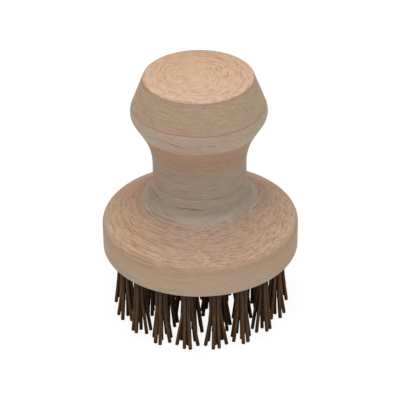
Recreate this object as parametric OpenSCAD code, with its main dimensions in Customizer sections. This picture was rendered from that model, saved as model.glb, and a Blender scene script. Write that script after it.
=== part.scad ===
// Round barbecue cleaning brush: a turned beech head with a mushroom grip, and
// staple-set tufts of stiff plant fibre in rings under its base. The origin is
// on the axis of the head, in the plane of the fibre tips, and +Z is up.

/* [Base] */
// Diameter of the round base
base_d = 80; // [76:1:100]
// Height of the upright side of the base
base_side_h = 13; // [11:0.5:20]
// Rise of the sloping top of the base, from its shoulder to the foot of the neck
base_slope_h = 9.8; // [6:0.2:14]
// Radius of the shoulder between the side and the sloping top
shoulder_r = 3.8; // [1:0.2:6]
// Radius of the bottom edge of the base
rim_edge_r = 0.8; // [0.4:0.1:2]

/* [Neck] */
// Diameter of the neck
neck_d = 37.8; // [30:0.2:42]
// Length of the neck between the flare and the underside of the knob
neck_h = 17.8; // [14:0.2:30]
// Diameter of the foot, where the flare of the neck meets the base
foot_d = 46.2; // [43:0.2:54]
// Height of the flare at the foot of the neck
flare_h = 6.3; // [4:0.1:10]
// Radius of the hollow corner at the top of the flare
flare_r = 8; // [2:0.5:12]
// Radius of the hollow corner at the foot
foot_r = 1.5; // [0.5:0.1:4]

/* [Knob] */
// Widest diameter of the knob, before its edge is rounded
knob_d = 55.8; // [50:0.2:66]
// Height of the hollow underside of the knob
under_h = 15.2; // [12:0.2:20]
// Radius of the hollow curve from the neck into the underside of the knob
under_r = 30; // [10:1:32]
// Radius of the widest edge of the knob
knob_edge_r = 5.8; // [2:0.2:9]
// Height of the knob above its widest edge
knob_h = 15.9; // [12:0.1:24]
// Diameter of the flat top of the knob
knob_top_d = 43.6; // [34:0.2:48]
// Radius of the edge of the flat top
top_edge_r = 1.2; // [0.4:0.1:3]

/* [Tufts] */
// Length of the fibres below the base
bristle_len = 29; // [22:0.5:40]
// Diameter of one fibre
fibre_d = 1.5; // [1:0.05:1.6]
// Gap between neighbouring fibres where they leave the base
fibre_gap = 0.05; // [0.02:0.01:0.1]
// Number of fibres round the middle one of a tuft
outer_fibres = 7; // [5:1:8]
// Distance from the axis of a tuft to the tips of its outer fibres
spread = 3.9; // [3:0.05:4.2]
// Depth below the base at which the outer fibres start to turn outwards
bend_depth = 11; // [8:0.5:14]
// Length over which a fibre turns, before it runs on straight to its tip
bend_len = 4; // [2:0.5:8]

/* [Rings of tufts] */
// Number of rings round the middle tuft, with six more tufts in each ring
rings = 3; // [1:1:3]
// Distance from the rim of the base to the centres of the outermost tufts
rim_margin = 7.6; // [6:0.1:8]
// Turn of the inner rings against the outermost one
inner_turn = -9; // [-15:0.5:15]

/* [Variation between fibres] */
// Most that a tip lies nearer or further than the spread
spread_vary = 0.6; // [0:0.05:0.6]
// Most that a turn lies higher or lower than the bend depth
bend_vary = 2; // [0:0.1:3]
// Most that a fibre stands off its even place round the tuft, in degrees
place_vary = 1.2; // [0:0.1:1.5]
// Most that a fibre leans to one side of its radial line, in degrees
aim_vary = 25; // [0:1:30]
// Most that a fibre is cut shorter than the longest
trim_vary = 0.3; // [0:0.1:1]

/* [Tuft holes] */
// Depth of the straight part of each hole
hole_depth = 8; // [7:0.1:9]
// Angle of the drill's point, in degrees
drill_angle = 118; // [90:1:140]
// Packed fibre outside the drawn ones in the root of a tuft
root_skin = 0.1; // [0.05:0.01:0.2]
// Depth of the root's end inside the mouth of its hole
root_inset = 0.6; // [0.2:0.1:1.5]

/* [Anchors] */
// Thickness of an anchor strip
anchor_t = 0.4; // [0.3:0.05:0.6]
// Width of an anchor strip, along the hole
anchor_w = 2; // [1.4:0.1:2.6]
// Bite of each end of an anchor strip into the wood
anchor_bite = 0.5; // [0.2:0.1:0.8]

/* [Fits] */
// Radial gap between the root of a tuft and its hole
tuft_fit = 0.05; // [0.02:0.01:0.1]
// Gap round an anchor strip in its slot
anchor_fit = 0.02; // [0.01:0.01:0.05]

/* [Hidden] */
$fn = 96;
fibre_r = fibre_d / 2;
// The outer fibres of a tuft stand side by side round its middle fibre
bundle_r = max((fibre_d + fibre_gap) / 2 / sin(180 / outer_fibres), fibre_d + fibre_gap);
root_r = bundle_r + fibre_r + root_skin;
hole_r = root_r + tuft_fit;
ring_pitch = (base_d / 2 - rim_margin) / rings;
wood_z = bristle_len;
// The root's round end seats in the cone that the drill's point left
point_h = hole_r / tan(drill_angle / 2);
root_centre = hole_depth + point_h - (root_r + tuft_fit) / sin(drill_angle / 2);
anchor_l = 2 * (hole_r + anchor_bite);
// How far the straight end of a fibre stands inside its bend, all round and
// lengthways, so that the two meet at a clear edge
end_inset = 0.01;
// How far the circle of a rounding stands into the two walls that it joins, so
// that it meets each of them at a clear corner
run_in = 0.002;

// Heights of the head's corners above its underside
foot_z = base_side_h + base_slope_h;
neck_z = foot_z + flare_h;
under_z = neck_z + neck_h;
knob_z = under_z + under_h;
top_z = knob_z + knob_h;

// Corners of half the head's section, each with the radius of its rounding
HEAD = [
    [[0, 0], 0],
    [[base_d / 2, 0], rim_edge_r],
    [[base_d / 2, base_side_h], shoulder_r],
    [[foot_d / 2, foot_z], foot_r],
    [[neck_d / 2, neck_z], flare_r],
    [[neck_d / 2, under_z], under_r],
    [[knob_d / 2, knob_z], knob_edge_r],
    [[knob_top_d / 2, top_z], top_edge_r],
    [[0, top_z], 0]
];

// A tuft is its name, its ring's radius, its bearing from +X, its number and its
// hand. The tufts on the left of the front, -Y, mirror those on the right.
function two_digits(n) = str(n < 10 ? "0" : "", n);
function ring_name(k) = k == rings ? "outer" : k == 1 ? "inner" : "middle";
function ring_of_tufts(k) = [
    for (i = [0:6 * k - 1])
        let (bearing = i * 60 / k + (k == rings ? 0 : inner_turn))
        let (from_front = (bearing + 270) % 360 - 180)
        [
            str("tuft_", ring_name(k), "_", two_digits(i + 1)),
            k * ring_pitch,
            bearing,
            3 * k * (k - 1) + 1 + floor(abs(from_front) * k / 60),
            from_front < 0 ? -1 : 1
        ]
];
TUFTS = [["tuft_centre", 0, 0, 0, 1], for (k = [1:rings]) each ring_of_tufts(k)];

// A fixed scatter from -1 to 1 for each fibre of each tuft
function scatter(tuft, fibre, kind) =
    let (s = 43.76 * sin(106.2 * tuft + 194 * fibre + 112.3 * kind))
    2 * (s - floor(s)) - 1;

function unit(v) = v / norm(v);

// The piece between a sharp corner p and its rounding, r, towards a and b. Past
// the corner it runs on a little, across the outline.
module corner_piece(a, p, b, r) {
    u = unit(a - p);
    v = unit(b - p);
    middle = unit(u + v);
    half = acos(u * v) / 2;
    room = min(norm(a - p), norm(b - p)) / 2;
    t = min(r / tan(half), room);
    c = p + middle * t / cos(half);
    difference() {
        polygon([p - middle * t / 2, p + u * t, c, p + v * t]);
        translate(c) circle(r = t * tan(half) + run_in);
    }
}

// Rounds the corners of one side of an outline: outward ones are cut back and
// hollow ones are filled
module rounded_outline(corners) {
    last = len(corners) - 1;
    function turn(i) = cross(corners[i][0] - corners[i - 1][0], corners[i + 1][0] - corners[i][0]);
    module piece(i) corner_piece(
        corners[i - 1][0], corners[i][0], corners[i + 1][0], corners[i][1]
    );
    difference() {
        union() {
            polygon([for (c = corners) c[0]]);
            for (i = [1:last - 1]) if (turn(i) < 0) piece(i);
        }
        for (i = [1:last - 1]) if (turn(i) > 0) piece(i);
    }
}

// Puts a tuft's own frame at its place: +X outwards, z = 0 at the wood's face
module at_tuft(t) {
    rotate(t[2]) translate([t[1], 0, wood_z]) children();
}

module anchor(gap) {
    translate([0, 0, root_centre])
        cube([anchor_t + 2 * gap, anchor_l + 2 * gap, anchor_w + 2 * gap], center = true);
}

// A drilled hole, open through the face of the wood, with its anchor's slot
module tuft_hole() {
    below = 1;
    translate([0, 0, -below]) cylinder(h = hole_depth + below, r = hole_r);
    translate([0, 0, hole_depth]) cylinder(h = point_h, r1 = hole_r, r2 = 0);
    anchor(anchor_fit);
}

module wood_head() {
    color("burlywood") difference() {
        translate([0, 0, wood_z]) rotate_extrude() rounded_outline(HEAD);
        for (t = TUFTS) at_tuft(t) tuft_hole();
    }
}

module anchor_strips() {
    color("silver") for (t = TUFTS) at_tuft(t) anchor(0);
}

// A fibre from inside the root down to the depth at which it turns, round a bend
// towards +X and on straight, so that its tip lies the given reach out
module fibre(depth, free, reach) {
    turn_len = min(bend_len, free / 2);
    lean = atan(reach / (free - turn_len / 2));
    bend_r = turn_len * 180 / PI / lean;
    end_len = (free - bend_r * sin(lean)) / cos(lean);
    translate([0, 0, -depth]) {
        cylinder(h = depth + 2 * root_inset, r = fibre_r);
        translate([bend_r, 0, 0]) rotate([90, 0, 0])
            rotate_extrude(angle = lean, start = 180) translate([bend_r, 0]) circle(r = fibre_r);
        translate([bend_r, 0, 0]) rotate([0, -lean, 0]) translate([-bend_r, 0, -end_len])
            cylinder(h = end_len + end_inset, r = fibre_r - end_inset);
    }
}

// The folded root: a plug with a round end, slotted for its anchor
module root() {
    difference() {
        union() {
            translate([0, 0, root_inset])
                cylinder(h = root_centre - root_inset, r = root_r);
            translate([0, 0, root_centre]) intersection() {
                sphere(r = root_r);
                cylinder(h = 2 * root_r, r = 2 * root_r);
            }
        }
        anchor(anchor_fit);
    }
}

module tuft(t) {
    color("saddlebrown") at_tuft(t) scale([1, t[4], 1]) {
        root();
        translate([0, 0, -bristle_len])
            cylinder(h = bristle_len + 2 * root_inset, r = fibre_r);
        for (j = [0:outer_fibres - 1]) {
            place = (j + 0.5) * 360 / outer_fibres + place_vary * scatter(t[3], j, 0);
            reach = spread - bundle_r + spread_vary * scatter(t[3], j, 1);
            depth = bend_depth + bend_vary * scatter(t[3], j, 2);
            cut = trim_vary * (0.6 + 0.4 * scatter(t[3], j, 3));
            rotate(place) translate([bundle_r, 0, 0])
                rotate(aim_vary * scatter(t[3], j, 4))
                    fibre(depth, bristle_len - cut - depth, reach);
        }
    }
}

wood_head();
anchor_strips();
for (t = TUFTS) tuft(t);
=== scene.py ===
"""Looks of the round barbecue cleaning brush: a turned beech head and tufts of
stiff plant fibre, on a pale floor under soft studio light.

Lengths are in millimetres, as in part.scad, unless a comment says metres. Meshes
are made in metres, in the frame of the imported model.
"""

import math
from functools import reduce

import bpy
import numpy as np
from mathutils import Matrix, Vector


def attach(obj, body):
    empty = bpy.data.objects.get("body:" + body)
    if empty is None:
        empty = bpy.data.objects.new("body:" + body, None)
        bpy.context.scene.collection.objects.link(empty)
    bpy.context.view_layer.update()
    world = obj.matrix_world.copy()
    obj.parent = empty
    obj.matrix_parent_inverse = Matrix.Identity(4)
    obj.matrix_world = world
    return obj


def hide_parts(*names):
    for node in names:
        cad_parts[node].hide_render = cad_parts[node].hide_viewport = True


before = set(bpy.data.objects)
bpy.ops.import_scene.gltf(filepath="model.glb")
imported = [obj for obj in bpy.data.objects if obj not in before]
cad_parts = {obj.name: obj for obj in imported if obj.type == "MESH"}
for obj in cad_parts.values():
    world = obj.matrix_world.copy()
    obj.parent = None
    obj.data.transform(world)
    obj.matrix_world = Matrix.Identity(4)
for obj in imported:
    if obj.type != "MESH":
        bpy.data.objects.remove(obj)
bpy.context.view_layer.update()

MM = 0.001

# Sizes of the brush, as in part.scad
BRISTLE_LEN = 29.0
BASE_D = 80.0
FIBRE_R = 0.75
FIBRE_GAP = 0.05
OUTER_FIBRES = 7
SPREAD = 3.9
BEND_DEPTH = 11.0
BEND_LEN = 4.0
RINGS = 3
RIM_MARGIN = 7.6
INNER_TURN = -9.0
SPREAD_VARY = 0.6
BEND_VARY = 2.0
PLACE_VARY = 1.2
AIM_VARY = 25.0
TRIM_VARY = 0.3
ROOT_INSET = 0.6
ROOT_SKIN = 0.1
ROOT_DEPTH = 8.4

BUNDLE_R = (FIBRE_R + FIBRE_GAP / 2) / math.sin(math.pi / OUTER_FIBRES)
ROOT_R = BUNDLE_R + FIBRE_R + ROOT_SKIN
RING_PITCH = (BASE_D / 2 - RIM_MARGIN) / RINGS


# Materials
class Tree:
    """The node tree of a material or world, with short calls for its nodes. Their
    inputs are sockets of other nodes, numbers, or colours of three numbers."""

    def __init__(self, owner):
        self.owner = owner
        owner.use_nodes = True
        self.nodes = owner.node_tree.nodes
        self.links = owner.node_tree.links
        self.nodes.clear()

    def feed(self, socket, value):
        if isinstance(value, bpy.types.NodeSocket):
            self.links.new(value, socket)
        else:
            socket.default_value = (*value, 1.0) if socket.type == "RGBA" else value

    def add(self, kind, inputs, **settings):
        node = self.nodes.new("ShaderNode" + kind)
        for key, value in settings.items():
            setattr(node, key, value)
        for key, value in inputs.items():
            self.feed(node.inputs[key], value)
        return node

    def math(self, operation, *values):
        return self.add("Math", dict(enumerate(values)), operation=operation).outputs[0]

    def plus(self, *values):
        return reduce(lambda a, b: self.math("ADD", a, b), values)

    def minus(self, a, b):
        return self.math("SUBTRACT", a, b)

    def times(self, *values):
        return reduce(lambda a, b: self.math("MULTIPLY", a, b), values)

    def most(self, *values):
        return reduce(lambda a, b: self.math("MAXIMUM", a, b), values)

    def rest(self, value):
        return self.minus(1.0, value)

    def squares(self, a, b):
        return self.plus(self.times(a, a), self.times(b, b))

    def blend(self, factor, a, b):
        """The number a where the factor is 0 and b where it is 1."""
        return self.plus(self.times(self.rest(factor), a), self.times(factor, b))

    def vector(self, x, y, z):
        return self.add("CombineXYZ", {"X": x, "Y": y, "Z": z}).outputs[0]

    def place(self, stretch):
        """The place in the object, stretched along its axes."""
        place = self.add("TexCoord", {}).outputs["Object"]
        return self.add("VectorMath", {0: place, 1: stretch}, operation="MULTIPLY").outputs[0]

    def dot(self, a, b):
        return self.add("VectorMath", {0: a, 1: b}, operation="DOT_PRODUCT").outputs["Value"]

    def attribute(self, name, output="Fac"):
        return self.add("Attribute", {}, attribute_name=name).outputs[output]

    def noise(self, vector, w=None, scale=1.0, detail=2.0, rough=0.5):
        inputs = {"Vector": vector, "Scale": scale, "Detail": detail, "Roughness": rough}
        if w is not None:
            inputs["W"] = w
        dimensions = "3D" if w is None else "4D"
        return self.add("TexNoise", inputs, noise_dimensions=dimensions).outputs["Fac"]

    def remap(self, value, low, high, to_low=0.0, to_high=1.0, kind="SMOOTHSTEP"):
        """Goes softly from to_low to to_high as the value goes from low to high."""
        inputs = {
            "Value": value,
            "From Min": low,
            "From Max": high,
            "To Min": to_low,
            "To Max": to_high,
        }
        return self.add("MapRange", inputs, interpolation_type=kind).outputs["Result"]

    def linear(self, value, low, high, to_low=0.0, to_high=1.0):
        return self.remap(value, low, high, to_low, to_high, "LINEAR")

    def sway(self, noise, by, half=0.2):
        """A noise, which lies mostly within half of its middle, as a shift to and fro."""
        return self.linear(noise, 0.5 - half, 0.5 + half, -by, by)

    def ramp(self, factor, stops):
        node = self.add("ValToRGB", {"Fac": factor})
        elements = node.color_ramp.elements
        while len(elements) < len(stops):
            elements.new(0.5)
        for element, (at, colour) in zip(elements, stops):
            element.position = at
            element.color = (*colour, 1.0)
        return node.outputs["Color"]

    def mix(self, factor, a, b, blend="MIX"):
        # The colour sockets of this node are its inputs 6 and 7 and its output 2
        node = self.add("Mix", {}, data_type="RGBA", blend_type=blend)
        for index, value in ((0, factor), (6, a), (7, b)):
            self.feed(node.inputs[index], value)
        return node.outputs[2]

    def tint(self, factor, colour, by):
        """The colour, multiplied by another one as far as the factor says."""
        return self.mix(factor, colour, self.mix(1.0, colour, by, "MULTIPLY"))

    def bump(self, height, distance, strength):
        inputs = {"Height": height, "Distance": distance * MM, "Strength": strength}
        return self.add("Bump", inputs).outputs["Normal"]

    def choose(self, factor, a, b):
        """The shader a where the factor is 0 and b where it is 1."""
        return self.add("MixShader", {0: factor, 1: a, 2: b}).outputs[0]

    def seen(self):
        """Is 1 for what the camera sees, straight or in metal and glass."""
        path = self.add("LightPath", {}).outputs
        kinds = ("Glossy", "Transmission", "Camera")
        return self.most(*(path[f"Is {kind} Ray"] for kind in kinds))

    def finish(self, shader):
        kind = "OutputWorld" if isinstance(self.owner, bpy.types.World) else "OutputMaterial"
        self.add(kind, {"Surface": shader})
        return self.owner

    def surface(self, inputs):
        return self.finish(self.add("BsdfPrincipled", inputs).outputs[0])


def new_material(name):
    return Tree(bpy.data.materials.new(name))


def direction(degrees):
    angle = math.radians(degrees)
    return math.cos(angle), math.sin(angle)


# Tones of the beech by height above the underside of the head, from bottom to top: the wood's own
# bands and rings, partly painted shade and light too, with the side darker than the flat top as if
# lit from above and the band under the knob paler against its shade. Every height of the wood below
# is measured from there.
ZONE_TOP = 80.0
ZONES = [
    (0.0, (0.644, 0.482, 0.336)),
    (9.5, (0.640, 0.460, 0.318)),
    (12.0, (0.530, 0.372, 0.251)),
    (14.5, (0.575, 0.412, 0.289)),
    (17.5, (0.504, 0.343, 0.236)),
    (20.5, (0.509, 0.364, 0.259)),
    (22.1, (0.517, 0.382, 0.287)),
    (22.7, (0.513, 0.446, 0.367)),
    (24.3, (0.492, 0.419, 0.341)),
    (26.3, (0.389, 0.315, 0.246)),
    (28.3, (0.419, 0.338, 0.248)),
    (28.7, (0.479, 0.381, 0.292)),
    (31.9, (0.495, 0.414, 0.327)),
    (32.2, (0.400, 0.230, 0.145)),
    (32.5, (0.515, 0.394, 0.282)),
    (39.3, (0.513, 0.417, 0.329)),
    (43.0, (0.519, 0.407, 0.301)),
    (47.5, (0.536, 0.370, 0.244)),
    (52.5, (0.557, 0.369, 0.240)),
    (55.9, (0.602, 0.388, 0.257)),
    (56.3, (0.736, 0.613, 0.466)),
    (60.5, (0.706, 0.577, 0.429)),
    (62.5, (0.634, 0.497, 0.376)),
    (65.3, (0.526, 0.411, 0.302)),
    (65.6, (0.340, 0.163, 0.090)),
    (65.8, (0.505, 0.358, 0.248)),
    (67.5, (0.515, 0.382, 0.263)),
    (76.5, (0.508, 0.375, 0.254)),
    (77.3, (0.440, 0.285, 0.186)),
    (77.9, (0.772, 0.569, 0.402)),
]
REDDER = (0.560, 0.360, 0.240)
DARK_GRAIN = (0.400, 0.228, 0.142)
PINK_GRAIN = (0.555, 0.270, 0.175)
PALE_GRAIN = (0.745, 0.575, 0.440)
RED_STREAK = (0.360, 0.170, 0.105)
TOP_STREAK = (0.490, 0.185, 0.115)
DARK_LINE = (0.300, 0.120, 0.065)
TOP_FLECK = (0.450, 0.180, 0.115)
WARM = (1.030, 0.990, 0.965)
COOL = (0.970, 1.010, 1.035)

# Painted shade on the sloping top of the base: tones from its front, 0, to its back, 1, darkest
# towards its back, and a gain on all of them
SLOPE_SHADE = [
    (0.04, (0.840, 0.790, 0.785)),
    (0.28, (0.975, 0.980, 0.980)),
    (0.55, (0.900, 0.860, 0.830)),
    (0.75, (0.850, 0.750, 0.710)),
]
SLOPE_GAIN = (1.190, 1.265, 1.274)

# Tones of the flat top, between these places in front of and behind the axis
TOP_FRONT, TOP_BACK = -22.0, 20.0
TOP_TONES = [
    (0.00, (1.000, 1.000, 1.000)),
    (0.40, (0.970, 0.975, 0.975)),
    (0.62, (0.925, 0.905, 0.875)),
    (0.95, (0.900, 0.840, 0.755)),
]

# Painted shade on the side. Each has a colour and some masks, which go from 0 to 1 by height or by
# how far back they lie, from -1 in front to 1 behind
SIDE_SHADES = [
    # Painted shade on the neck beside its front, as if the light fell from the front
    (
        (0.955, 0.925, 0.900),
        [("back", -0.85, -0.25), ("height", 60.0, 52.0), ("height", 24.0, 30.0)],
    ),
    # Painted shade on the base towards its back
    ((0.958, 0.915, 0.885), [("height", 23.0, 21.8), ("back", -0.85, -0.35)]),
    # Painted shade in the corner on both sides of the foot, where the wood is browner too
    (
        (0.875, 0.845, 0.815),
        [("height", 18.8, 21.4), ("height", 26.0, 23.2), ("back", -0.97, -0.65)],
    ),
]

# Heights over which the wood turns into the sloping top of the base, out of it and
# into the flat top, and over which its rings come to lie evenly
SLOPE_STARTS = (11.5, 14.5)
SLOPE_ENDS = (24.0, 22.5)
TOP_STARTS = (76.7, 77.7)
RINGS_EVEN = (74.0, 70.0)
# How far the middle of the growth rings on the flat top lies beside the axis, and
# the distances from the axis between which that sets in
RINGS_BESIDE = 4.5
RINGS_BESIDE_FROM = (22.0, 2.0)

# The noise that the rings of growth wander by: how short its streaks are round the
# axis, at the radius STREAK_R, and how many fit into a millimetre across. It lies
# mostly within WANDER_HALF of its middle.
STREAK_R = 32.0
WANDER = (1.3, 0.05)
WANDER_HALF = 0.25
# Layers of noise in the wood: the same two numbers, detail and roughness
LAYERS = {
    "broad": (1.1, 0.30, 2, 0.55),
    "short_grain": (9.0, 4.5, 2, 0.6),
    "long_grain": (2.0, 4.5, 2, 0.6),
    "top_grain": (12.0, 2.3, 3, 0.6),
    "long_streak": (1.6, 2.4, 2, 0.55),
    "short_streak": (10.0, 2.4, 2, 0.6),
    "rare": (1.5, 1.5, 0, 0.4),
    "hue": (4.5, 1.2, 2, 0.6),
}
# How far noise shifts the layers, the zones, the flecks in the side and those in the
# flat top, and the edge of a dash in shares of its half thickness
LAYER_SHIFT, ZONE_SHIFT = 0.8, 0.35
FLECK_SHIFT, TOP_FLECK_SHIFT, DASH_SHIFT = 0.15, 0.3, 0.5
# Streaks are longer on the left of the front: the range over which that sets in, the
# share of the longer grain there, the share of the arcs that shows on the right too,
# and the share of the dashes that is missing on the left
LEFT = (0.15, -0.35)
LEFT_LONG, RIGHT_ARCS, LEFT_FEWER = 0.85, 0.35, 0.6
# Values of the noise over which each kind of line or tone sets in
DARK_FROM, PALE_FROM = (0.49, 0.62), (0.49, 0.36)
ARC_FROM, DASH_FROM, RARE_FROM = (0.54, 0.63), (0.53, 0.62), (0.725, 0.76)
REDDER_FROM, COOL_FROM = (0.32, 0.68), (0.35, 0.65)
# How strongly lines show: on the side, over heights at the edge of the base, and how
# much more on the sloping top and on the flat top, over distances from its middle
BASE_EDGE, SIDE_STRENGTH = (10.5, 12.5), (0.34, 0.60)
SLOPE_STRENGTH = 0.34
TOP_MIDDLE, TOP_STRENGTH = (2.0, 12.0), (-0.30, 0.14)
# Depth of the dark and pale lines on the side and on the sloping top, where the dark
# ones fade from left to right over a range, and depth of the streaks
SIDE_DARK, SLOPE_DARK, SLOPE_RIGHT = 0.62, (0.95, 0.76), (0.1, 0.5)
SIDE_PALE, SLOPE_PALE = 0.46, 0.30
STREAK_DEPTH, REDDER_DEPTH = 0.70, 0.30
# A few thin lines behind the neck: heights and places over which they set in, depth
BEHIND_HEIGHTS, BEHIND, BEHIND_DEPTH = (62.5, 54.5), (-0.3, 0.1), 0.6
# How far the grain stands out, and how far its marks lie in
GRAIN_RELIEF, MARK_RELIEF = 0.8, 0.6

# Single flecks in the side: bearing from +X in degrees, height, half length round the
# axis, half thickness, strength
FLECKS = [
    (-85, 75.9, 1.3, 0.42, 0.22),
    (-69, 72.1, 1.4, 0.40, 0.20),
    (-83, 70.5, 1.3, 0.36, 0.24),
    (-42, 70.9, 1.1, 0.50, 0.22),
    (-56, 69.6, 1.7, 0.36, 0.20),
    (-80, 67.0, 2.6, 0.90, 0.08),
    (-80, 61.4, 2.9, 0.26, 0.80),
    (-88, 61.5, 3.0, 0.22, 0.35),
    (-119, 57.3, 3.2, 0.30, 0.28),
    (-70, 32.0, 3.4, 0.32, 0.45),
    (-30, 31.4, 3.6, 0.35, 0.35),
    (-105, 28.1, 7.6, 0.30, 0.65),
    (-97, 28.0, 3.4, 0.36, 0.70),
    (-159, 28.3, 8.0, 0.28, 0.70),
    (-75, 38.6, 2.2, 0.34, 0.26),
    (-93, 42.8, 2.2, 0.28, 0.20),
    (-103, 37.4, 1.8, 0.34, 0.20),
    (-134, 23.0, 9.0, 0.22, 0.40),
    (-131, 15.5, 15.0, 0.20, 0.50),
    (-156, 17.6, 8.0, 0.22, 0.36),
    (-112, 18.6, 7.0, 0.20, 0.34),
    (-60, 17.0, 3.0, 0.20, 0.30),
]
# Single flecks in the flat top: bearing and distance from the middle of its rings,
# half length round it, half thickness, strength
TOP_FLECKS = [
    (-108, 13.1, 1.5, 0.60, 0.60),
    (-85, 13.8, 1.7, 0.55, 0.48),
    (-88, 15.9, 1.6, 0.55, 0.30),
    (-163, 14.5, 1.4, 0.50, 0.58),
    (55, 16.7, 3.0, 0.80, 0.30),
    (29, 18.0, 1.4, 0.55, 0.55),
    (29, 14.4, 1.0, 0.50, 0.50),
    (1, 16.4, 1.7, 0.40, 0.42),
    (-5, 17.5, 1.3, 0.40, 0.48),
    (-31, 19.4, 1.3, 0.45, 0.50),
    (-38, 15.5, 1.0, 0.45, 0.34),
    (-60, 14.0, 1.6, 0.60, 0.34),
    (-107, 20.9, 2.4, 0.40, 0.26),
    (-161, 21.2, 1.9, 0.40, 0.38),
    (80, 15.8, 2.2, 0.70, 0.28),
    (106, 19.7, 2.8, 0.70, 0.26),
    (79, 19.3, 4.4, 0.70, 0.30),
]
# Two longer ones in the flat top, which run straight: place of the middle, direction
# in degrees, half length, half thickness, strength
TOP_DASHES = [
    (-6.0, -1.4, -31, 4.6, 0.62, 0.42),
    (-5.8, -3.6, -29, 3.6, 0.62, 0.38),
]


class Beech(Tree):
    """Turned beech. The grain runs round the axis, so its streaks are drawn in the
    cylinder coordinates of the head: a point on a circle of radius 1, height and
    radius."""

    def __init__(self):
        super().__init__(bpy.data.materials.new("beech"))
        self.find_place()
        self.find_layers()
        self.find_grain()

    def find_place(self):
        """Sets x, y, height and r, their direction cx and cy, and on_top and on_slope,
        which are 1 on the flat top and on the sloping top of the base."""
        per_mm = 1 / MM
        split = self.add("SeparateXYZ", {"Vector": self.place((per_mm, per_mm, per_mm))})
        self.straight_x, self.y, z = split.outputs
        self.height = self.minus(z, BRISTLE_LEN)
        self.on_top = self.remap(self.height, *TOP_STARTS)
        self.on_slope = self.times(
            self.remap(self.height, *SLOPE_STARTS), self.remap(self.height, *SLOPE_ENDS)
        )
        # The middle of the growth rings on the flat top lies beside the axis
        from_axis = self.math("SQRT", self.squares(self.straight_x, self.y))
        beside = self.remap(from_axis, *RINGS_BESIDE_FROM, 0.0, RINGS_BESIDE)
        self.x = self.plus(self.straight_x, self.times(self.on_top, beside))
        self.r = self.math("SQRT", self.squares(self.x, self.y))
        least_r = 0.5
        over_r = self.math("DIVIDE", 1.0, self.most(self.r, least_r))
        self.cx, self.cy = self.times(self.x, over_r), self.times(self.y, over_r)
        self.on_circle = self.vector(self.cx, self.cy, 0.0)

    def stretched(self, turns, across, height):
        """A place for noise whose streaks run round the axis."""
        turns /= STREAK_R
        return self.vector(
            self.times(self.x, turns), self.times(self.y, turns), self.times(height, across)
        )

    def find_layers(self):
        """Sets the layers of noise. Rings of growth wander up and down as they go round."""
        self.wander = self.noise(self.stretched(*WANDER, self.height))
        shift = self.sway(self.wander, LAYER_SHIFT, WANDER_HALF)
        height, r = self.plus(self.height, shift), self.plus(self.r, shift)
        self.layers = {}
        for key, (turns, across, detail, rough) in LAYERS.items():
            place = self.stretched(turns, across, height), self.times(r, across)
            self.layers[key] = self.noise(*place, detail=detail, rough=rough)

    def find_grain(self):
        """Sets the grain, the marks of its streaks, and how strongly both show."""
        layer = self.layers
        longer = self.times(self.remap(self.cx, *LEFT), self.rest(self.on_top))
        left_long = self.times(longer, LEFT_LONG)
        grain = self.blend(left_long, layer["short_grain"], layer["long_grain"])
        self.grain = self.blend(self.on_top, grain, layer["top_grain"])
        # Lines show most where the turned face cuts across the grain, on the sloping top
        # of the base and on the flat top, and least on the upright side of the base
        self.strength = self.plus(
            self.times(self.on_slope, SLOPE_STRENGTH),
            self.times(self.on_top, self.remap(self.r, *TOP_MIDDLE, *TOP_STRENGTH)),
            self.remap(self.height, *BASE_EDGE, *SIDE_STRENGTH),
        )
        across = self.most(self.on_slope, self.on_top)
        arcs = self.times(
            self.remap(layer["long_streak"], *ARC_FROM),
            self.plus(RIGHT_ARCS, self.times(longer, 1 - RIGHT_ARCS)),
        )
        dashes = self.times(
            self.remap(layer["short_streak"], *DASH_FROM),
            self.rest(self.times(longer, LEFT_FEWER)),
        )
        self.marks = self.most(arcs, self.times(dashes, across))

    def tone(self):
        """Tone by height and round the head: paler and redder rings of the wood, which end evenly
        below the flat top, with painted shade and light in the bands by height, on the back of the
        sloping top, beside the neck, on the back of the base and in the corner at the foot."""
        uneven = self.times(
            self.sway(self.wander, ZONE_SHIFT, WANDER_HALF), self.remap(self.height, *RINGS_EVEN)
        )
        level = self.math("DIVIDE", self.plus(self.height, uneven), ZONE_TOP)
        # The bands by height hold painted shade and light too: the side darker than the flat top,
        # the band under the knob paler
        colour = self.ramp(level, [(height / ZONE_TOP, tone) for height, tone in ZONES])
        redness = self.linear(self.layers["broad"], *REDDER_FROM, 0.0, REDDER_DEPTH)
        colour = self.mix(redness, colour, REDDER)
        # Painted shade on the sloping top, darker towards its back
        slope_shade = self.ramp(self.linear(self.cy, -1.0, 1.0), SLOPE_SHADE)
        slope_shade = self.mix(1.0, slope_shade, SLOPE_GAIN, "MULTIPLY")
        colour = self.tint(self.on_slope, colour, slope_shade)
        where = {"height": self.height, "back": self.cy}
        # Painted shade beside the neck, on the back of the base and in the corner at the foot
        for tint, masks in SIDE_SHADES:
            mask = self.times(*(self.remap(where[key], low, high) for key, low, high in masks))
            colour = self.tint(mask, colour, tint)
        return colour

    def grained(self, colour):
        """Adds the dark and pale lines of the grain, and redder streaks over them."""
        slope_dark = self.remap(self.cx, *SLOPE_RIGHT, *SLOPE_DARK)
        depth = self.blend(self.on_slope, SIDE_DARK, slope_dark)
        dark = self.times(self.strength, depth, self.remap(self.grain, *DARK_FROM))
        colour = self.mix(dark, colour, self.mix(self.on_top, DARK_GRAIN, PINK_GRAIN))
        depth = self.blend(self.on_slope, SIDE_PALE, SLOPE_PALE)
        pale = self.times(self.strength, depth, self.remap(self.grain, *PALE_FROM))
        colour = self.mix(pale, colour, PALE_GRAIN)
        streaks = self.times(self.strength, STREAK_DEPTH, self.marks)
        return self.mix(streaks, colour, self.mix(self.on_top, RED_STREAK, TOP_STREAK))

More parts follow.
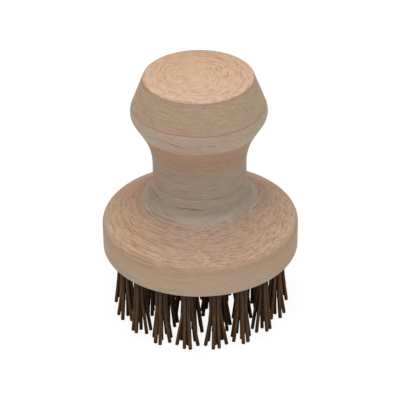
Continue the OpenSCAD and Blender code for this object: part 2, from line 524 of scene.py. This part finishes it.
    def ellipse(self, along, aside, strength):
        """The strength in the middle of an ellipse, none from its edge on."""
        return self.remap(self.squares(along, aside), 1.0, 0.1, 0.0, strength)

    def fleck(self, level, bearing, at, length, thickness, strength):
        """A short line round the axis, where the level, a height or a radius, is at."""
        c, s = direction(bearing)
        along = self.times(self.dot(self.on_circle, (-s, c, 0)), self.r, 1 / length)
        aside = self.times(self.minus(level, at), 1 / thickness)
        on_this_side = self.math("GREATER_THAN", self.dot(self.on_circle, (c, s, 0)), 0.0)
        return self.times(self.ellipse(along, aside, strength), on_this_side)

    def dash(self, mid_x, mid_y, degrees, length, thickness, strength):
        """A straight line on the flat top, with an uneven edge."""
        c, s = direction(degrees)
        dx, dy = self.minus(self.straight_x, mid_x), self.minus(self.y, mid_y)
        along = self.plus(self.times(dx, c / length), self.times(dy, s / length))
        aside = self.minus(self.times(dy, c / thickness), self.times(dx, s / thickness))
        aside = self.plus(aside, self.sway(self.layers["short_streak"], DASH_SHIFT))
        return self.ellipse(along, aside, strength)

    def flecked(self, colour):
        """Adds the single flecks of the tables, and a few thin lines behind the neck."""
        uneven = self.layers["short_streak"]
        behind = self.times(
            self.remap(self.height, *BEHIND_HEIGHTS),
            self.remap(self.cy, *BEHIND),
            BEHIND_DEPTH,
            self.remap(self.layers["rare"], *RARE_FROM),
        )
        level = self.plus(self.height, self.sway(uneven, FLECK_SHIFT))
        lines = self.most(behind, *(self.fleck(level, *row) for row in FLECKS))
        colour = self.mix(lines, colour, DARK_LINE)
        level = self.plus(self.r, self.sway(uneven, TOP_FLECK_SHIFT))
        specks = [self.fleck(level, *row) for row in TOP_FLECKS]
        specks += [self.dash(*row) for row in TOP_DASHES]
        specks = self.times(self.most(0.0, *specks), self.on_top)
        return self.mix(specks, colour, TOP_FLECK)

    def make(self):
        colour = self.flecked(self.grained(self.tone()))
        top_tone = self.ramp(self.linear(self.y, TOP_FRONT, TOP_BACK), TOP_TONES)
        colour = self.tint(self.on_top, colour, top_tone)
        hue = self.mix(self.remap(self.layers["hue"], *COOL_FROM), WARM, COOL)
        colour = self.mix(1.0, colour, hue, "MULTIPLY")
        relief = self.minus(
            self.times(self.grain, GRAIN_RELIEF), self.times(self.marks, MARK_RELIEF)
        )
        return self.surface(
            {
                "Base Color": colour,
                "Roughness": self.linear(self.grain, 0.3, 0.7, 0.56, 0.70),
                "Specular IOR Level": 0.22,
                "Normal": self.bump(relief, 0.08, 0.6),
            }
        )


# Tones of a fibre from its root, 0, to its tip, 1, and what is mixed into them
FIBRE_TONES = [
    (0.00, (0.045, 0.035, 0.033)),
    (0.22, (0.126, 0.087, 0.065)),
    (0.55, (0.216, 0.118, 0.057)),
    (0.85, (0.210, 0.100, 0.036)),
    (1.00, (0.146, 0.059, 0.013)),
]
FIBRE_STREAK = (0.040, 0.019, 0.009)
FIBRE_PALE = (0.250, 0.150, 0.088)
FIBRE_DARK = (0.060, 0.034, 0.019)
FIBRE_SHADE = (0.200, 0.150, 0.110)
# Values of the noise over which each sets in, and how deep it goes; the dark is mixed in by a
# fibre's own tone and the painted shade of the inner tufts, up to the darkest
FIBRE_STREAK_FROM, FIBRE_STREAK_DEPTH = (0.38, 0.62), 0.75
FIBRE_PALE_FROM, FIBRE_PALE_DEPTH = (0.50, 0.68), 0.50
DARKEST_TONE, FIBRE_DARK_DEPTH = 1.35, 0.60
# Painted shade between the fibres of a tuft: from facing outwards to facing inwards, and how deep
# it goes at the root and at the tip
FIBRE_SHADE_FROM, FIBRE_SHADE_AT_ROOT, FIBRE_SHADE_AT_TIP = (0.75, -0.4), 0.75, 0.45


def plant_fibre():
    """Dark brown plant fibre, with streaks along each fibre, warmer tips, and painted shade between
    the fibres and on the inner tufts.
    """
    t = new_material("plant_fibre")
    place = t.attribute("fibre_place", "Vector")
    down = t.attribute("fibre_down")
    streak = t.noise(place, detail=3, rough=0.6)
    streaks = t.remap(streak, *FIBRE_STREAK_FROM, 0.0, FIBRE_STREAK_DEPTH)
    pale = t.remap(t.noise(place, scale=2.3), *FIBRE_PALE_FROM, 0.0, FIBRE_PALE_DEPTH)
    # A fibre's own tone darkens it, with the painted shade of the inner tufts in it
    dark = t.linear(t.attribute("fibre_tone"), 0.0, DARKEST_TONE, 0.0, FIBRE_DARK_DEPTH)
    # Painted shade where a fibre faces into its tuft
    inward = t.remap(t.attribute("fibre_outward"), *FIBRE_SHADE_FROM)
    painted_shade = t.times(inward, t.blend(down, FIBRE_SHADE_AT_ROOT, FIBRE_SHADE_AT_TIP))
    colour = t.mix(streaks, t.ramp(down, FIBRE_TONES), FIBRE_STREAK)
    colour = t.mix(pale, colour, FIBRE_PALE)
    colour = t.mix(dark, colour, FIBRE_DARK)
    colour = t.tint(painted_shade, colour, FIBRE_SHADE)
    return t.surface(
        {
            "Base Color": colour,
            "Roughness": t.linear(streak, 0.3, 0.7, 0.62, 0.78),
            "Specular IOR Level": 0.07,
            "Normal": t.bump(streak, 0.12, 0.6),
        }
    )


def anchor_metal():
    """Drawn galvanised strip, with fine lines along it."""
    t = new_material("anchor_metal")
    lines = t.noise(t.place((900, 900, 9000)))
    return t.surface(
        {
            "Base Color": t.mix(lines, (0.52, 0.53, 0.54), (0.66, 0.66, 0.66)),
            "Metallic": 1.0,
            "Roughness": t.linear(lines, 0.3, 0.7, 0.32, 0.48),
            "Normal": t.bump(lines, 0.02, 0.5),
        }
    )


# Tufts
# Corners round a fibre, its rings of corners from root to tip, the rounding of its
# cut end, and how far the middle of that end is drawn in
SIDES = 18
RINGS_DOWN = 24
END_ROUND = 0.08
END_ANGLES = (0, 35, 65, 90)
END_DIMPLE = 0.03
# Ridges along a fibre: height as a share of its radius, how many stand round it and
# how far they turn in a millimetre, in radians; then the same for its swelling
RIDGES = [(0.045, 2, 0.03), (0.030, 3, -0.05), (0.022, 7, 0.0)]
SWELLING = (0.020, 0.7)
# A fibre waves to its sides by this much, over this many half turns
WAVE, WAVE_TURNS = 0.10, 1.6
# Place of a fibre's skin in the noise of its streaks: radius, length of a millimetre,
# how seeds set fibres apart, and place of the cut end
STREAK_ROUND, STREAK_DOWN = 1.5, 0.12
SEED_STEP, SEED_SPAN = 9.7, 50
CUT_PLACE = (0.3, 0.3, 7)
# How much the thickness of the outer fibres varies, as a share of it
R_VARY = 0.04
# The middle fibre of a tuft: its thickness as a share of the others', how far it is
# turned from tuft to tuft, how deep its bend starts and how far out its tip lies
MIDDLE_R, MIDDLE_TURN = 0.96, 0.3
MIDDLE_DEPTH, MIDDLE_REACH = 20.0, 0.15
# How much shorter the fibres are than their solids, so that none stands lower
SHORTER, MIDDLE_SHORTER = 0.2, 0.02
# How dark a fibre is: the middle of the range, and how much darker the inner tufts are, as painted
# shade
MIDDLE_TONE, INNER_SHADE = 0.5, 0.35
# The root: corners round it, bevel at its mouth, how far the middle of its round end
# lies below its depth, and the angles of that end; lengths are shares of its radius,
# but for the height of the bevel
ROOT_SIDES = 32
ROOT_MOUTH_R, ROOT_BEVEL = 0.55, 0.35
DOME_BELOW = 0.4
DOME_ANGLES = (15, 30, 45, 60, 75)
ROOT_PLACE = (0.5, 0.5, 0.2)


def scatter(tuft, fibre, kind):
    """The fixed scatter of part.scad, from -1 to 1."""
    s = 43.76 * math.sin(math.radians(106.2 * tuft + 194 * fibre + 112.3 * kind))
    return 2 * (s - math.floor(s)) - 1


def tufts():
    """Name, ring radius, bearing, number and hand of each tuft. The tufts on the left
    of the front mirror those on the right."""
    yield "tuft_centre", 0.0, 0.0, 0, 1
    for k in range(1, RINGS + 1):
        ring = "outer" if k == RINGS else "inner" if k == 1 else "middle"
        for i in range(6 * k):
            bearing = i * 60 / k + (0 if k == RINGS else INNER_TURN)
            from_front = (bearing + 270) % 360 - 180
            number = 3 * k * (k - 1) + 1 + int(abs(from_front) * k / 60)
            hand = -1 if from_front < 0 else 1
            yield f"tuft_{ring}_{i + 1:02d}", k * RING_PITCH, bearing, number, hand


def tube_faces(sides, rings):
    """Faces of a tube of rings of corners, closed by one point before its first ring
    and one after its last; the two points follow the rings."""
    first, last = rings * sides, (rings - 1) * sides
    pairs = [(a, (a + 1) % sides) for a in range(sides)]
    faces = [
        (k + a, k + sides + a, k + sides + b, k + b)
        for k in range(0, last, sides)
        for a, b in pairs
    ]
    faces += [(first, a, b) for a, b in pairs]
    return faces + [(first + 1, last + b, last + a) for a, b in pairs]


def fibre_mesh(start, heading, depth, length, reach, radius, seed):
    """One fibre, from a point in the root down to its tip. Returns its vertices and
    faces and, for each vertex, its place on the fibre, its share of the way down and
    how far it faces out of the tuft."""
    slope = reach / (length - depth - BEND_LEN / 2)

    def offset(d):
        into = np.clip(d - depth, 0, BEND_LEN)
        return slope * (into * into / (2 * BEND_LEN) + np.maximum(d - depth - BEND_LEN, 0))

    d = np.linspace(-2 * ROOT_INSET, length, RINGS_DOWN)
    share = np.clip(d / length, 0, 1)
    phase = 1 + scatter(seed, 4, 5)
    side = WAVE * scatter(seed, 3, 5) * np.sin(math.pi * share * WAVE_TURNS + phase) * share
    c, s = math.cos(heading), math.sin(heading)
    x = start[0] + c * offset(d) - s * side
    y = start[1] + s * offset(d) + c * side
    centre = np.stack([x, y, -d], 1)

    # The rings turn with the fibre; the last ones round the cut end off
    tangent = np.gradient(centre, axis=0)
    tangent /= np.linalg.norm(tangent, axis=1)[:, None]
    rings = [(centre[i], tangent[i], radius, d[i]) for i in range(RINGS_DOWN - 1)]
    tip, way = centre[-1], tangent[-1]
    for angle in np.radians(END_ANGLES):
        along = -END_ROUND * (1 - math.sin(angle))
        inward = END_ROUND * (1 - math.cos(angle))
        rings.append((tip + way * along, way, radius - inward, d[-1] + along))

    angles = np.arange(SIDES) * 2 * math.pi / SIDES
    cos, sin = np.cos(angles), np.sin(angles)
    phases = [math.pi * scatter(seed, k, 7) for k in range(4)]
    verts, places, downs, outwards = [], [], [], []
    for point, way, size, at in rings:
        u = np.cross(way, (s, -c, 0.0))
        u /= np.linalg.norm(u)
        v = np.cross(way, u)
        ridges = sum(
            height * np.cos(count * angles + phase + turn * at)
            for (height, count, turn), phase in zip(RIDGES, phases)
        )
        ridges += SWELLING[0] * math.sin(SWELLING[1] * at + phases[3])
        facing = cos[:, None] * u + sin[:, None] * v
        verts.append(point + (size * (1 + ridges))[:, None] * facing)
        level = np.full(SIDES, STREAK_DOWN * at + SEED_STEP * seed % SEED_SPAN)
        places.append(np.stack([STREAK_ROUND * cos, STREAK_ROUND * sin, level], 1))
        downs.append(np.full(SIDES, np.clip(at / BRISTLE_LEN, 0, 1)))
        outwards.append((facing[:, 0] * start[0] + facing[:, 1] * start[1]) / BUNDLE_R)
    verts = np.concatenate(verts + [[rings[0][0]], [tip - way * END_DIMPLE]])
    ends = np.array([(0, 0, 0), CUT_PLACE]) + (0, 0, seed % SEED_SPAN)
    places = np.concatenate(places + [ends])
    downs = np.concatenate(downs + [[0.0], [1.0]])
    outwards = np.concatenate(outwards + [[0.0], [1.0]])
    return verts, tube_faces(SIDES, len(rings)), places, downs, outwards


def root_mesh():
    """The folded end of the bundle: a plug with a round end inside its hole."""
    angles = np.arange(ROOT_SIDES) * 2 * math.pi / ROOT_SIDES
    dome_z = ROOT_DEPTH - ROOT_R * DOME_BELOW
    outline = [
        (ROOT_R * ROOT_MOUTH_R, ROOT_INSET),
        (ROOT_R, ROOT_INSET + ROOT_BEVEL),
        (ROOT_R, dome_z),
    ]
    for angle in np.radians(DOME_ANGLES):
        outline.append((ROOT_R * math.cos(angle), dome_z + ROOT_R * math.sin(angle)))
    verts = [(r * math.cos(a), r * math.sin(a), z) for r, z in outline for a in angles]
    verts += [(0, 0, ROOT_INSET), (0, 0, dome_z + ROOT_R)]
    verts = np.array(verts, float)
    # Its rings go up where a fibre's go down, so its faces turn the other way
    faces = [face[:1] + face[:0:-1] for face in tube_faces(ROOT_SIDES, len(outline))]
    zeros = np.zeros(len(verts))
    return verts, faces, verts * ROOT_PLACE, zeros, zeros


def tuft_parts(number):
    """The root, the middle fibre and the outer fibres of a tuft, each with its tone."""
    yield root_mesh(), MIDDLE_TONE
    middle = fibre_mesh(
        start=(0, 0),
        heading=MIDDLE_TURN * number,
        depth=MIDDLE_DEPTH,
        length=BRISTLE_LEN - MIDDLE_SHORTER,
        reach=MIDDLE_REACH,
        radius=FIBRE_R * MIDDLE_R,
        seed=100 * number,
    )
    yield middle, MIDDLE_TONE
    for j in range(OUTER_FIBRES):
        place = (j + 0.5) * 360 / OUTER_FIBRES + PLACE_VARY * scatter(number, j, 0)
        place = math.radians(place)
        cut = TRIM_VARY * (0.6 + 0.4 * scatter(number, j, 3))
        outer = fibre_mesh(
            start=(BUNDLE_R * math.cos(place), BUNDLE_R * math.sin(place)),
            heading=place + math.radians(AIM_VARY * scatter(number, j, 4)),
            depth=BEND_DEPTH + BEND_VARY * scatter(number, j, 2),
            length=BRISTLE_LEN - cut - SHORTER,
            reach=SPREAD - BUNDLE_R + SPREAD_VARY * scatter(number, j, 1),
            radius=FIBRE_R * (1.0 + R_VARY * scatter(number, j, 6)),
            seed=100 * number + j + 1,
        )
        yield outer, MIDDLE_TONE * (1 + scatter(number, j, 8))


def link(name, data):
    piece = bpy.data.objects.new(name, data)
    bpy.context.scene.collection.objects.link(piece)
    return piece


def tuft_piece(name, ring_r, bearing, number, hand, material):
    """Makes a tuft at its place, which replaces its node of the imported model."""
    is_inner = ring_r < (RINGS - 0.5) * RING_PITCH
    columns = {"verts": [], "place": [], "tone": [], "down": [], "outward": []}
    faces = []
    first = 0
    for (verts, part_faces, places, downs, outwards), tone in tuft_parts(number):
        # The inner tufts are made darker, as painted shade
        tones = np.full(len(verts), tone + (INNER_SHADE if is_inner else 0.0))
        for column, values in zip(columns.values(), (verts, places, tones, downs, outwards)):
            column.append(values)
        faces += [tuple(first + k for k in face) for face in part_faces]
        first += len(verts)
    columns = {key: np.concatenate(values) for key, values in columns.items()}
    if hand < 0:
        faces = [face[::-1] for face in faces]
    turn = math.radians(bearing)
    centre = Vector((ring_r * math.cos(turn), ring_r * math.sin(turn), BRISTLE_LEN))
    rotation = np.array(Matrix.Rotation(turn, 3, "Z"))
    verts = (columns.pop("verts") * (1, hand, 1)) @ rotation.T + np.array(centre)

    mesh = bpy.data.meshes.new(name + "_fibres")
    mesh.from_pydata((verts * MM).tolist(), [], faces)
    mesh.shade_smooth()
    for key, values in columns.items():
        kind, field = ("FLOAT_VECTOR", "vector") if key == "place" else ("FLOAT", "value")
        attribute = mesh.attributes.new("fibre_" + key, kind, "POINT")
        attribute.data.foreach_set(field, values.astype(np.float32).ravel())
    mesh.materials.append(material)
    piece = link(name + "_fibres", mesh)
    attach(piece, "root")
    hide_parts(name)


wood = Beech().make()
fibre = plant_fibre()
for row in tufts():
    tuft_piece(*row, fibre)
for node, material in (("wood_head", wood), ("anchor_strips", anchor_metal())):
    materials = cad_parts[node].data.materials
    materials.clear()
    materials.append(material)


# Floor, light and camera
# Half the width of the floor, in metres, and the grey that it is for light
FLOOR_HALF = 6.0
FLOOR_GREY = 0.75
# The camera sees this share of a white glow in it, and a paler grey otherwise
FLOOR_GLOW, GLOW_STRENGTH = 0.85, 1.08
FLOOR_SEEN_GREY = 0.85
# Light of the world on the object; the camera sees a world of strength 1
WORLD_STRENGTH = 0.47
# The camera: degrees above the horizontal and of roll, distance, height above the
# underside of the head that it aims at, and the scale of its picture there
CAMERA_ELEVATION, CAMERA_ROLL = 32.327, 0.706
CAMERA_DISTANCE = 784.2
CAMERA_AIM = 20.306
PIXELS_PER_MM = 2.456
IMAGE_WIDTH = 400
SENSOR_WIDTH = 36


def make_floor():
    """A pale floor that the camera sees as white, with the shadow of the brush in it."""
    t = new_material("floor")
    lit = t.add("BsdfDiffuse", {"Color": (FLOOR_GREY,) * 3}).outputs[0]
    grey = t.add("BsdfDiffuse", {"Color": (FLOOR_SEEN_GREY,) * 3}).outputs[0]
    white = t.add("Emission", {"Color": (1, 1, 1), "Strength": GLOW_STRENGTH}).outputs[0]
    material = t.finish(t.choose(t.seen(), lit, t.choose(FLOOR_GLOW, grey, white)))

    corners = [(x * FLOOR_HALF, y * FLOOR_HALF, 0) for x, y in ((-1, -1), (1, -1), (1, 1), (-1, 1))]
    mesh = bpy.data.meshes.new("floor")
    mesh.from_pydata(corners, [], [(0, 1, 2, 3)])
    mesh.materials.append(material)
    floor = link("floor", mesh)


def make_world():
    t = Tree(bpy.data.worlds.new("studio"))
    soft, white = (
        t.add("Background", {"Color": (1, 1, 1), "Strength": strength}).outputs[0]
        for strength in (WORLD_STRENGTH, 1.0)
    )
    bpy.context.scene.world = t.finish(t.choose(t.seen(), soft, white))


def area_light(name, place, aim, size, power):
    """A round soft lamp: its place, the point that it aims at and its size in metres,
    and its power in watts."""
    light = bpy.data.lights.new(name, "AREA")
    light.shape = "DISK"
    light.size = size
    light.energy = power
    lamp = link(name, light)
    lamp.location = place
    lamp.rotation_euler = (Vector(aim) - Vector(place)).to_track_quat("-Z", "Y").to_euler()


def make_camera():
    c, s = direction(CAMERA_ELEVATION)
    back = Vector((0, -c, s))
    camera = bpy.data.cameras.new("camera")
    camera.sensor_width = SENSOR_WIDTH
    camera.lens = PIXELS_PER_MM * CAMERA_DISTANCE / IMAGE_WIDTH * SENSOR_WIDTH
    camera.clip_start, camera.clip_end = 0.05, 20
    eye = link("camera", camera)
    target = Vector((0, 0, (BRISTLE_LEN + CAMERA_AIM) * MM))
    eye.location = target + back * (CAMERA_DISTANCE * MM)
    roll = Matrix.Rotation(-math.radians(CAMERA_ROLL), 3, "Z").to_quaternion()
    eye.rotation_mode = "QUATERNION"
    eye.rotation_quaternion = (-back).to_track_quat("-Z", "Y") @ roll
    bpy.context.scene.camera = eye


make_floor()
make_world()
area_light("softbox_above", place=(-0.03, -0.2, 1.3), aim=(0, 0, 0.06), size=0.9, power=8.4)
make_camera()
bpy.context.scene.view_settings.view_transform = "Standard"
